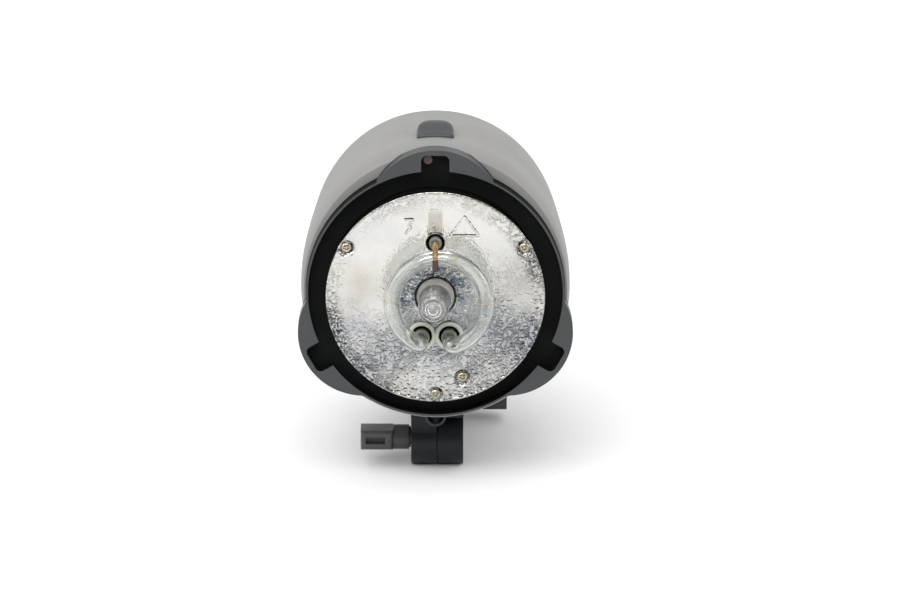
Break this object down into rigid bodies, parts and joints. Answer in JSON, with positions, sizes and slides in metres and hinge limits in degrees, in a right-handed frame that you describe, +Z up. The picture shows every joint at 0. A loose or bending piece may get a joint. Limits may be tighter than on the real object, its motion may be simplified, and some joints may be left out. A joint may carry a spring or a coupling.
{
  "type": "monolight strobe",
  "caption": "Compact studio flash head with a lobed bayonet front, ring flash tube, modelling lamp and a folding tilt bracket with stand and umbrella sockets.",
  "frame": {"origin": "on the table under the middle of the whole object's bounding box", "axes": "+Z up, the lamp faces -Y, +X across the front"},
  "size_m": [0.1416, 0.2551, 0.1939],
  "materials": {
    "case_grey": "fine satin texture, light warm grey",
    "ring_black": "dark grey moulded, satin",
    "bracket_black": "near black, fine grain",
    "knob_dark": "dark grey, satin",
    "panel_dark": "dark grey panel",
    "key_grey": "soft-touch keys",
    "hammered_aluminium": "hammered, bright",
    "clear_glass": "clear quartz",
    "ceramic_white": "pale, matt",
    "brass_bright": "plated screws",
    "copper_wire": "dark coiled wire",
    "steel_zinc": "zinc plated",
    "pin_red": "dull red-brown",
    "display_glass": "dark red window",
    "board_green": "circuit board",
    "capacitor_blue": "sleeved cans",
    "lens_red": "photocell dome",
    "inner_black": "moulded, inside"
  },
  "bodies": {
    "head": {"bayonet_ring": "ring_black", "front_shell": "case_grey", "rear_shell": "case_grey", "rear_panel": "panel_dark", "light_drum": "inner_black", "reflector_plate": "hammered_aluminium", "plate_screws": "brass_bright", "plate_pillars": "inner_black", "socket_carrier": "ceramic_white", "modelling_lamp": "clear_glass", "lamp_base": "brass_bright", "lamp_socket": "ceramic_white", "flash_tube": "clear_glass", "tube_collar": "ceramic_white", "tube_sockets": "steel_zinc", "trigger_post": "ceramic_white", "trigger_spring": "copper_wire", "release_spring": "steel_zinc", "spring_stop": "inner_black", "head_yoke": "bracket_black", "umbrella_tube": "steel_zinc", "display_window": "display_glass", "display_module": "inner_black", "photocell_dome": "lens_red", "sync_jack": "steel_zinc", "fuse_cap": "inner_black", "mains_inlet": "inner_black", "inlet_pins": "steel_zinc", "rocker_frame": "inner_black", "chassis_tray": "steel_zinc", "flash_capacitors": "capacitor_blue", "main_board": "board_green", "board_components": "inner_black", "control_board": "board_green", "key_switches": "inner_black", "charging_transformer": "inner_black", "heat_sink": "steel_zinc", "trigger_coil": "inner_black", "fan_frame": "inner_black", "heat_baffle": "steel_zinc", "panel_screws": "steel_zinc"},
    "release": {"release_button": "ring_black", "lock_slide": "steel_zinc", "lock_pin": "pin_red"},
    "arm": {"stand_arm": "bracket_black", "socket_sleeve": "steel_zinc", "tilt_bolt": "steel_zinc", "friction_washer": "knob_dark"},
    "tilt_lever": {"tilt_knob": "knob_dark"},
    "stand_clamp": {"stand_clamp_knob": "knob_dark", "clamp_tip": "brass_bright"},
    "umbrella_lock": {"umbrella_screw": "knob_dark"},
    "flash_down": {"flash_down_key": "key_grey"},
    "flash_up": {"flash_up_key": "key_grey"},
    "lamp_button": {"lamp_key": "key_grey"},
    "cell_button": {"cell_key": "key_grey"},
    "test_button": {"test_key": "key_grey"},
    "rocker": {"power_rocker": "knob_dark"},
    "fan": {"fan_rotor": "inner_black"}
  },
  "joints": [
    {"name": "tilt", "type": "hinge", "parent": "head", "child": "arm", "pos_m": [0.0008, -0.0356, 0.014], "axis": [-1, 0, 0], "range_deg": [0, 180]},
    {"name": "tilt_lever_turn", "type": "hinge", "parent": "arm", "child": "tilt_lever", "pos_m": [-0.02, -0.0356, 0.014], "axis": [-1, 0, 0], "range_deg": [-180, 180]},
    {"name": "stand_clamp_turn", "type": "hinge", "parent": "arm", "child": "stand_clamp", "pos_m": [0.02, 0.0404, 0.014], "axis": [1, 0, 0], "range_deg": [-180, 180]},
    {"name": "umbrella_lock_turn", "type": "hinge", "parent": "head", "child": "umbrella_lock", "pos_m": [0.015, -0.0356, 0.0343], "axis": [1, 0, 0], "range_deg": [-180, 180]},
    {"name": "release_slide", "type": "slide", "parent": "head", "child": "release", "axis": [0, 1, 0], "range_m": [0, 0.005], "stiffness_N_per_m": 400, "springref_m": -0.003},
    {"name": "rocker_tilt", "type": "hinge", "parent": "head", "child": "rocker", "pos_m": [-0.021, 0.121, 0.084], "axis": [1, 0, 0], "range_deg": [-8, 8]},
    {"name": "fan_spin", "type": "hinge", "parent": "head", "child": "fan", "pos_m": [0, 0.0379, 0.108], "axis": [0, 1, 0], "continuous": true},
    {"name": "flash_down_press", "type": "slide", "parent": "head", "child": "flash_down", "axis": [0, -1, 0], "range_m": [0, 0.0012], "stiffness_N_per_m": 500, "springref_m": -0.0004},
    {"name": "flash_up_press", "type": "slide", "parent": "head", "child": "flash_up", "axis": [0, -1, 0], "range_m": [0, 0.0012], "stiffness_N_per_m": 500, "springref_m": -0.0004},
    {"name": "lamp_button_press", "type": "slide", "parent": "head", "child": "lamp_button", "axis": [0, -1, 0], "range_m": [0, 0.0012], "stiffness_N_per_m": 500, "springref_m": -0.0004},
    {"name": "cell_button_press", "type": "slide", "parent": "head", "child": "cell_button", "axis": [0, -1, 0], "range_m": [0, 0.0012], "stiffness_N_per_m": 500, "springref_m": -0.0004},
    {"name": "test_button_press", "type": "slide", "parent": "head", "child": "test_button", "axis": [0, -1, 0], "range_m": [0, 0.0012], "stiffness_N_per_m": 500, "springref_m": -0.0004}
  ]
}
